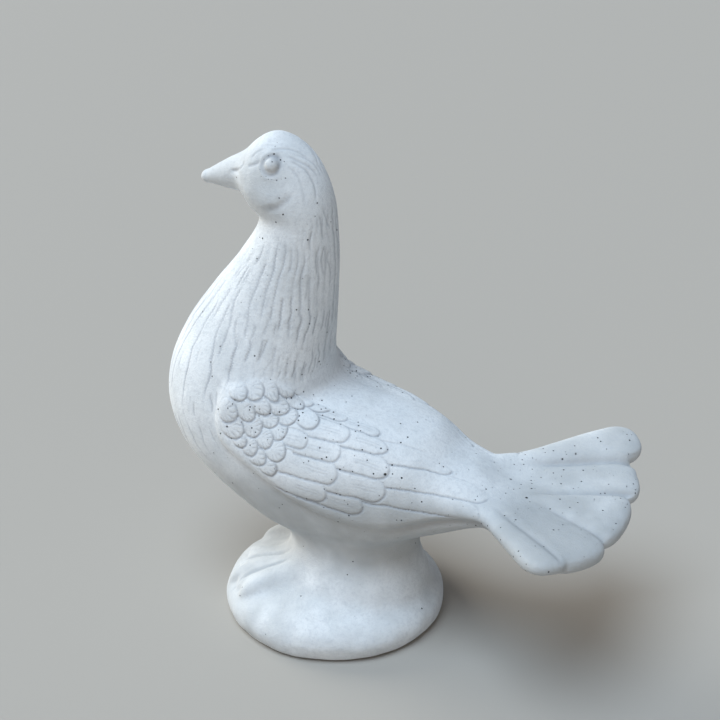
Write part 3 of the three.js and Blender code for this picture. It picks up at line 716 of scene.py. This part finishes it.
# the cut lines: their points (x, |y|, z), how wide and how deep each is, and how much painted shade
# darkens them
FACE_LINES = [
    ([(-30.7, 14.7, 293.2), (-27.5, 14, 293.4), (-25, 12, 294.1), (-22.2, 10, 294.1),
      (-18.7, 7.8, 293.3), (-15.1, 5.7, 291.3), (-11.3, 4, 288.4), (-8.3, 2.3, 284.7)],
     0.8, 0.32, 0.38),
    ([(-20.6, 13.2, 290.7), (-17.5, 11.7, 289.8), (-14.3, 10.4, 288.2), (-11.4, 8.4, 286.3),
      (-8.7, 6.3, 283.8), (-6.3, 4.9, 280.9), (-4.6, 4.6, 277)], 0.8, 0.42, 0.45),
    ([(-19.4, 14.6, 288.6), (-15.6, 12.3, 287.4), (-12.6, 10.8, 285.4), (-9.9, 9.3, 283),
      (-7.4, 8.8, 279.6), (-5.4, 8.8, 275.7), (-4, 9.4, 271.8), (-3.2, 10.8, 268.1),
      (-2.6, 11.6, 264)], 0.75, 0.4, 0.45),
    ([(-17.4, 10.2, 291.4), (-14.3, 7.3, 290.3), (-10.9, 4.8, 288.3), (-8.3, 2.1, 284.9),
      (-5.7, 1.2, 280.7), (-3.5, 1.9, 276.1)], 0.8, 0.26, 0.3),
    ([(-18, 17, 286.6), (-14.6, 15.3, 283.8), (-11.8, 14.2, 279.6), (-10, 14.2, 274.6),
      (-8.6, 15, 269), (-7.4, 15.6, 263)], 0.8, 0.22, 0.24),
    ([(-40.2, 15.8, 287.6), (-39.1, 16.1, 289.3), (-37, 15.4, 291.5), (-34.6, 14.7, 292.9),
      (-31.6, 14.4, 293.6)], 0.9, 0.34, 0.36),
    ([(-35.8, 13.2, 294.6), (-31.8, 12.4, 295.7), (-28.3, 11.7, 295.7), (-24.9, 10.7, 295.2)],
     0.8, 0.2, 0.2),
    ([(-33.4, 10.8, 296.7), (-29.7, 9.6, 297.2), (-26, 7.7, 297.2)], 0.8, 0.14, 0.14),
    ([(-42.5, 17.4, 283.5), (-38.3, 18.6, 285), (-35.1, 18.6, 286.5), (-32.2, 18.1, 288.6)],
     1.1, 0.5, 0.5),
    ([(-29.5, 22.9, 263.8), (-25.4, 23.3, 263), (-21.4, 23.3, 263.9), (-18.5, 22.8, 265.8),
      (-16.6, 21.8, 267.6), (-14.5, 20.5, 270.7), (-13.9, 19.3, 274)], 1.9, 0.4, 0.34),
    ([(-47.2, 13.4, 286), (-46.8, 15, 282.8), (-48.2, 14.4, 280.2), (-52, 12.2, 278.6),
      (-56.5, 10, 277.2), (-59, 9.4, 277)], 0.9, 0.42, 0.42),
    ([(-0.6, 7.5, 263.6), (0.7, 7, 257.8), (1.8, 5.4, 252.9), (2.5, 3.2, 247.8)], 0.8, 0.32, 0.4),
    ([(-0.6, 11, 260), (0, 10.2, 251.3), (0.9, 9.5, 243)], 0.8, 0.32, 0.4),
]

on_side = ramp(6, 11, np.abs(y)) * ramp(250, 256, z)
behind_eye, over_eye = x - EYE_AT[0], z - EYE_AT[2]
from_eye = np.hypot(behind_eye, over_eye)
above_eye = ramp(-0.5, 0.8, over_eye / np.maximum(from_eye, 1))
bead_ring = bell(from_eye - BEAD_RING, BEAD_RING_WIDTH) * on_side
rise -= (RING_DEPTH + UPPER_RING_DEPTH * above_eye) * bead_ring
# the groove round the bead is painted darker all round: painted shade
painted_crease_shade = np.maximum(painted_crease_shade, RING_DARK * bead_ring * (0.75 + 0.5 * murmur(place, 2.2, seed=41)))
lids = bell(from_eye - LID_RING, LID_WIDTH) * ramp(0.9, -0.6, behind_eye / np.maximum(from_eye, 1))
rise += LID_HEIGHT * lids * on_side
rise += BEAD_CROWN_HEIGHT * bell(from_eye, BEAD_CROWN_WIDTH) * on_side

head = np.flatnonzero((z > 238) & (x < 14))
spots = place[head] * (1, 0, 1) + np.outer(np.abs(y[head]), (0, 1, 0))
one = np.ones(len(head))
outward = facing[head] * np.stack([one, np.sign(y[head]), one], axis=1)
spots += HAND_SWAY * np.stack([murmur(place[head], 5, seed) for seed in (42, 43, 44)], axis=1)
for points, wide, deep, dark in FACE_LINES:
    points = np.array(points, float)
    off_line, gone = np.full(len(head), 9.0), np.zeros(len(head))
    for n, (a, b) in enumerate(zip(points, points[1:])):
        share = np.clip((spots - a) @ (b - a) / ((b - a) @ (b - a)), 0, 1)
        off = spots - a - share[:, None] * (b - a)
        reach = (off ** 2).sum(axis=1)
        # how far beside the line the point is, counted along the skin and only within 4 mm
        beside = np.sqrt(np.maximum(reach - (off * outward).sum(axis=1) ** 2, 0)) + 9 * (reach > 16)
        gone = np.where(beside < off_line, (n + share) / (len(points) - 1), gone)
        off_line = np.minimum(off_line, beside)
    cut = bell(off_line, wide) * band(gone, 0, 0.2, 0.75, 1)
    rise[head] -= deep * cut
    # the cut lines are painted darker: painted shade in them
    painted_crease_shade[head] = np.maximum(painted_crease_shade[head], dark * cut)

cheek = np.hypot(x - CHEEK_AT[0], z - CHEEK_AT[1])
rise += CHEEK_HEIGHT * ramp(17.0, 11.5, cheek) * ramp(277, 265, z) * on_side
crease_x, crease_y, crease_z = BILL_CREASE_AT
bill_crease = crease_x - BILL_CREASE_BOW * (z - crease_z) ** 2
bill_crease = bill_crease - BILL_CREASE_BOW * (crease_y - np.minimum(np.abs(y), crease_y)) ** 2
on_root = band(z, 262, 267, 285, 290) * ramp(3, 9, np.abs(y))
rise -= BILL_CREASE_DEPTH * bell(x - bill_crease, BILL_CREASE_WIDTH) * on_root
off_middle = ramp(4, 8, np.abs(y))
cere = bell(np.hypot(x - CERE_AT[0], z - CERE_AT[1]), CERE_WIDTH)
rise += CERE_HEIGHT * cere * off_middle
to_tip = x - NOSTRIL_AT[0]
nostril = np.hypot(to_tip / NOSTRIL_HALF[0],
                   (z - NOSTRIL_AT[1] - NOSTRIL_SLOPE * to_tip) / NOSTRIL_HALF[1])
rise -= NOSTRIL_DEPTH * bell(nostril, 1) * off_middle
pores += 0.8 * bell(from_eye - 6.5, 3.0) * on_side

# ------------ mound, toes and tail
# The mound keeps the marks of the hands that shaped it. Narrow carved lines part the toes, and soft
# grooves the tail's feathers. Pinholes crowd at the tail's root, where air stayed in the mould.
TOE_LINES = ((-2, 52), (21.5, 46))      # heading in degrees outward, and how far from the foot
TOE_LINE_WIDTH, TOE_LINE_DEPTH, TOE_LINE_DARK = 1.4, 1.1, 0.35
GROOVE_WIDTH, GROOVE_DARK = 2.0, 0.15   # and how much more painted shade each mm of depth adds
RIGHT_DEPTH, LEFT_DEPTH = 1.5, 0.75     # of the tail's grooves, mm
GROOVE_STARTS = (-0.30, 0.0)            # the outer and the inner groove's start, as a share
OFF_MIDDLE = ((0, 4), (-8, -2))         # how near the tail's middle each comes, mm
LIP_AT, LIP_WIDTH, LIP_SHARE = 5.5, 3.2, 0.35       # the feathers swell beside a groove

low = ramp(50, 40, z) * above_ground
rise += low * (0.9 * murmur(place, 26, seed=11) + 0.35 * murmur(place, 9, seed=12))
for side in (1, -1):
    for heading, length in TOE_LINES:
        angle = math.radians(heading)
        ahead = -(x - FOOT_X) * math.cos(angle) + (side * y - FOOT_Y) * math.sin(angle)
        aside = (x - FOOT_X) * math.sin(angle) + (side * y - FOOT_Y) * math.cos(angle)
        line = bell(aside, TOE_LINE_WIDTH) * band(ahead, 12, 24, length - 4, length + 10)
        line *= low * (side * y > 0)
        rise -= TOE_LINE_DEPTH * line
        # the toe lines are painted darker: painted shade in them
        painted_crease_shade = np.maximum(painted_crease_shade, TOE_LINE_DARK * line)
for side, grooves, depth in ((1, RIGHT_GROOVES, RIGHT_DEPTH), (-1, LEFT_GROOVES, LEFT_DEPTH)):
    for groove, starts, fade in zip(grooves, GROOVE_STARTS, OFF_MIDDLE):
        out, along = from_groove(groove, side)
        length = band(along, starts, starts + 0.5, 0.98, 1.12) * ramp(0.2, 0.6, facing[:, 2])
        length *= ramp(*fade, side * y)
        carved = length * bell(out, GROOVE_WIDTH)
        rise -= depth * carved
        # the groove is painted darker, more where it is deeper: painted shade
        painted_crease_shade = np.maximum(painted_crease_shade, (0.12 + GROOVE_DARK * depth) * carved)
        rise += LIP_SHARE * depth * length * bell(np.abs(out) - LIP_AT, LIP_WIDTH)
pores += 0.55 * bell(x - 118, 16) + 0.16 * ramp(120, 135, x)
pores *= 0.55 + 0.45 * ramp(-60, -20, x)
pores *= 1 - 0.75 * low

# ------------ the casting
# Matte white cement, a little cool: faint clouds, a fine sandy grain, painted shade in the carved
# lines and hollows, and small pinholes painted near black as the shade in them. Neck and back keep
# the plain colour;
# painted shade greys face, tail and underside, the toes and, less, the mound, under a faint grey
# mottle.
LIGHT_CEMENT, CLOUDED = (0.82, 0.85, 0.875, 1), (0.72, 0.76, 0.79, 1)
PAINTED_SHADE_GREY = (0.62, 0.62, 0.61, 1)
SPECKLE, SPECKLE_SHARE = (0.50, 0.53, 0.57, 1), 0.5
PAINTED_CREASE_SHADE, CREASE_SHADE_SHARE = (0.25, 0.27, 0.31, 1), 0.7
HOLE_SHADE = (0.022, 0.024, 0.030, 1)
CLOUD_SCALE, SPECK_SCALE, SAND_SCALE = 38, 420, 1300        # lumps to a metre
HOLE_EDGE = 0.07        # how soft a hole's rim is, in cells
UNDER_SHADE, VENT_SHADE = 0.9, 0.3        # how much painted shade greys the underside, and how much more at the vent
FOOT_SHADE, TOES_SHADE, TAIL_SHADE, LEFT_TAIL_SHADE, FACE_SHADE = 0.2, 0.35, 0.72, 0.45, 0.5

# painted shade: underside, vent, mound, toes, tail (most on its left) and face are painted greyer;
# the random part added after is the cement's own mottle
under_side = ramp(12, -16, turned - 15 * ramp(-15, 45, x)) * ramp(-88, -20, x)
painted_shade_and_mottle = (UNDER_SHADE + VENT_SHADE * ramp(40, 80, x)) * under_side * ramp(36, 56, z)
painted_shade_and_mottle += low * (FOOT_SHADE + TOES_SHADE * ramp(12, -10, x))
painted_shade_and_mottle = np.maximum(painted_shade_and_mottle, ramp(88, 140, x) * (TAIL_SHADE + LEFT_TAIL_SHADE * ramp(30, -45, y)))
painted_shade_and_mottle = np.maximum(painted_shade_and_mottle, FACE_SHADE * ramp(-8, -26, x) * band(z, 250, 262, 286, 298))
painted_shade_and_mottle += 0.22 * murmur(place, 13, seed=51) + 0.12 * murmur(place, 5, seed=52)
uneven = 0.16 * murmur(place, 17, seed=21) + 0.05 * murmur(place, 4.5, seed=22)
rise += uneven * above_ground
moved = place + facing * rise[:, None]
moved[:, 2] = np.maximum(np.where(flat_bottom, place[:, 2], moved[:, 2]), 0)
casting_mesh.vertices.foreach_set("co", (moved / 1000).ravel())
casting_mesh.update()
casting_mesh.shade_smooth()
for name, values in (("painted_crease_shade", painted_crease_shade), ("pores", pores), ("painted_shade_and_mottle", painted_shade_and_mottle)):
    attribute = casting_mesh.attributes.new(name, "FLOAT", "POINT")
    attribute.data.foreach_set("value", np.clip(values, 0, 1).astype(np.float32))

casting = bpy.data.objects.new("statue", casting_mesh)
bpy.context.scene.collection.objects.link(casting)

cement = bpy.data.materials.new("cast cement")
cement.use_nodes = True
nodes, links = cement.node_tree.nodes, cement.node_tree.links
shader = nodes["Principled BSDF"]
shader.inputs["Metallic"].default_value = 0.0
shader.inputs["Specular IOR Level"].default_value = 0.32


def join_up(socket, value):
    """Links a value that is a node's output, and sets any other."""
    if isinstance(value, bpy.types.NodeSocket):
        links.new(value, socket)
    else:
        socket.default_value = value


def node(kind, inputs=None, **settings):
    """A node with its settings and its inputs."""
    made = nodes.new(kind)
    for key, value in settings.items():
        setattr(made, key, value)
    for key, value in (inputs or {}).items():
        join_up(made.inputs[key], value)
    return made


def math_node(operation, *values, clamp=False):
    made = node("ShaderNodeMath", dict(enumerate(values)), operation=operation, use_clamp=clamp)
    return made.outputs[0]


def mix_colour(share, first, second, blend="MIX"):
    mixed = node("ShaderNodeMix", data_type="RGBA", blend_type=blend)
    for index, value in ((0, share), (6, first), (7, second)):
        join_up(mixed.inputs[index], value)
    return mixed.outputs[2]


def lumps(scale, detail, roughness):
    return node("ShaderNodeTexNoise", {"Vector": where, "Scale": scale, "Detail": detail,
                                       "Roughness": roughness}).outputs[0]


def stretched(value, low, high):
    """0 to 1 as the value goes from low to high."""
    made = node("ShaderNodeMapRange", {"Value": value, "From Min": low, "From Max": high})
    return made.outputs[0]


def painted(name):
    return node("ShaderNodeAttribute", attribute_name=name).outputs["Fac"]


where = node("ShaderNodeTexCoord").outputs["Object"]
clouds = lumps(CLOUD_SCALE, detail=5, roughness=0.6)
specks = lumps(SPECK_SCALE, detail=5, roughness=0.75)
sand = lumps(SAND_SCALE, detail=2, roughness=0.6)
painted_crease_shade_value, pore_value, painted_shade_and_mottle_value = painted("painted_crease_shade"), painted("pores"), painted("painted_shade_and_mottle")


def pinholes(scale, least, spread, often):
    """A mask of round holes: `scale` cells to a metre, of radius least to least + spread cells."""
    cells = node("ShaderNodeTexVoronoi", {"Vector": where, "Scale": scale, "Randomness": 1.0},
                 voronoi_dimensions="3D", feature="F1")
    chance = node("ShaderNodeSeparateColor", {"Color": cells.outputs["Color"]})
    radius = math_node("MULTIPLY_ADD", chance.outputs[1], spread, least)
    deep_in = math_node("SUBTRACT", radius, cells.outputs["Distance"])
    hole = math_node("DIVIDE", deep_in, HOLE_EDGE, clamp=True)
    chosen = math_node("LESS_THAN", chance.outputs[0], math_node("MULTIPLY", pore_value, often))
    return math_node("MULTIPLY", hole, chosen)


small_holes = pinholes(scale=400, least=0.08, spread=0.16, often=0.85)
large_holes = pinholes(scale=150, least=0.06, spread=0.09, often=0.45)
holes = math_node("MAXIMUM", small_holes, large_holes)

colour = mix_colour(stretched(clouds, 0.32, 0.68), CLOUDED, LIGHT_CEMENT)
# painted shade greys face, tail, underside and the mound
colour = mix_colour(painted_shade_and_mottle_value, colour, PAINTED_SHADE_GREY, "MULTIPLY")
speckled_by = math_node("MULTIPLY", stretched(specks, 0.46, 0.72), SPECKLE_SHARE)
colour = mix_colour(speckled_by, colour, SPECKLE)
# painted shade in the carved lines and hollows
colour = mix_colour(math_node("MULTIPLY", painted_crease_shade_value, CREASE_SHADE_SHARE), colour, PAINTED_CREASE_SHADE)
# each pinhole is painted near black: painted shade inside the pit
colour = mix_colour(holes, colour, HOLE_SHADE)
links.new(colour, shader.inputs["Base Color"])
matte = node("ShaderNodeMapRange", {"Value": specks, "To Min": 0.80, "To Max": 0.95}).outputs[0]
links.new(matte, shader.inputs["Roughness"])
grain = node("ShaderNodeBump", {"Height": sand, "Strength": 0.35, "Distance": 0.0005})
speckled = node("ShaderNodeBump", {"Height": specks, "Strength": 0.5, "Distance": 0.0008,
                                   "Normal": grain.outputs[0]})
pitted = node("ShaderNodeBump", {"Height": math_node("SUBTRACT", 1.0, holes), "Strength": 0.9,
                                 "Distance": 0.0008, "Normal": speckled.outputs[0]})
links.new(pitted.outputs[0], shader.inputs["Normal"])
casting_mesh.materials.clear()
casting_mesh.materials.append(cement)

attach(casting, "root")
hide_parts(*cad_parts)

# ------------ floor, light and camera
# A plain pale studio floor in soft even light: the main one low in front of the bill, a cool one
# overhead on the bird's left and a weak warm one below that.
FLOOR_REACH, FLOOR_DROP = 60.0, 0.0002      # metres
FLOOR_GREY = (0.41, 0.385, 0.35, 1)
SKY_COLOUR, SKY_STRENGTH = (0.88, 0.92, 1.0, 1), 0.25
LIGHT_WIDTH = 40                            # degrees across
CAMERA_AT = (0.35187, -0.71370, 0.53586)
CAMERA_BACK = (0.3830, -0.8214, 0.4226)     # the way from what it looks at to the camera
LENS, SENSOR = 74.2, 36                     # mm

floor_mesh = bpy.data.meshes.new("floor")
floor_mesh.from_pydata([(-FLOOR_REACH, -FLOOR_REACH, 0), (FLOOR_REACH, -FLOOR_REACH, 0),
                        (FLOOR_REACH, FLOOR_REACH, 0), (-FLOOR_REACH, FLOOR_REACH, 0)],
                       [], [(0, 1, 2, 3)])
floor = bpy.data.objects.new("floor", floor_mesh)
floor.location.z = cad_box[0][2] - FLOOR_DROP
bpy.context.scene.collection.objects.link(floor)
paint = bpy.data.materials.new("floor")
paint.use_nodes = True
floor_shader = paint.node_tree.nodes["Principled BSDF"]
floor_shader.inputs["Base Color"].default_value = FLOOR_GREY
floor_shader.inputs["Roughness"].default_value = 0.9
floor_mesh.materials.append(paint)

world = bpy.data.worlds.new("sky")
world.use_nodes = True
world.node_tree.nodes["Background"].inputs["Color"].default_value = SKY_COLOUR
world.node_tree.nodes["Background"].inputs["Strength"].default_value = SKY_STRENGTH
bpy.context.scene.world = world


def soft_light(name, height, heading, strength, colour):
    """A very wide soft light from far off, at a height and a heading in degrees."""
    tall, turned_to = math.radians(height), math.radians(heading)
    aim = Vector((math.cos(tall) * math.cos(turned_to), math.cos(tall) * math.sin(turned_to),
                  math.sin(tall)))
    lamp = bpy.data.lights.new(name, "SUN")
    lamp.angle = math.radians(LIGHT_WIDTH)
    lamp.energy = strength
    lamp.color = colour
    made = bpy.data.objects.new(name, lamp)
    made.rotation_euler = aim.to_track_quat("Z", "Y").to_euler()
    bpy.context.scene.collection.objects.link(made)


soft_light("key", height=17, heading=170, strength=2.75, colour=(1.0, 0.96, 0.87))
soft_light("sky", height=67, heading=255, strength=2.6, colour=(0.70, 0.85, 1.0))
soft_light("front fill", height=15, heading=285, strength=0.42, colour=(1.0, 0.78, 0.57))

camera_data = bpy.data.cameras.new("camera")
camera_data.sensor_width = SENSOR
camera_data.lens = LENS
camera = bpy.data.objects.new("camera", camera_data)
back = Vector(CAMERA_BACK).normalized()
right = Vector((0, 0, 1)).cross(back).normalized()
above = back.cross(right)
camera.matrix_world = Matrix.Translation(CAMERA_AT) @ Matrix(
    (right, above, back)).transposed().to_4x4()
bpy.context.scene.collection.objects.link(camera)
bpy.context.scene.camera = camera
bpy.context.scene.view_settings.view_transform = "Standard"
bpy.context.scene.view_settings.look = "None"
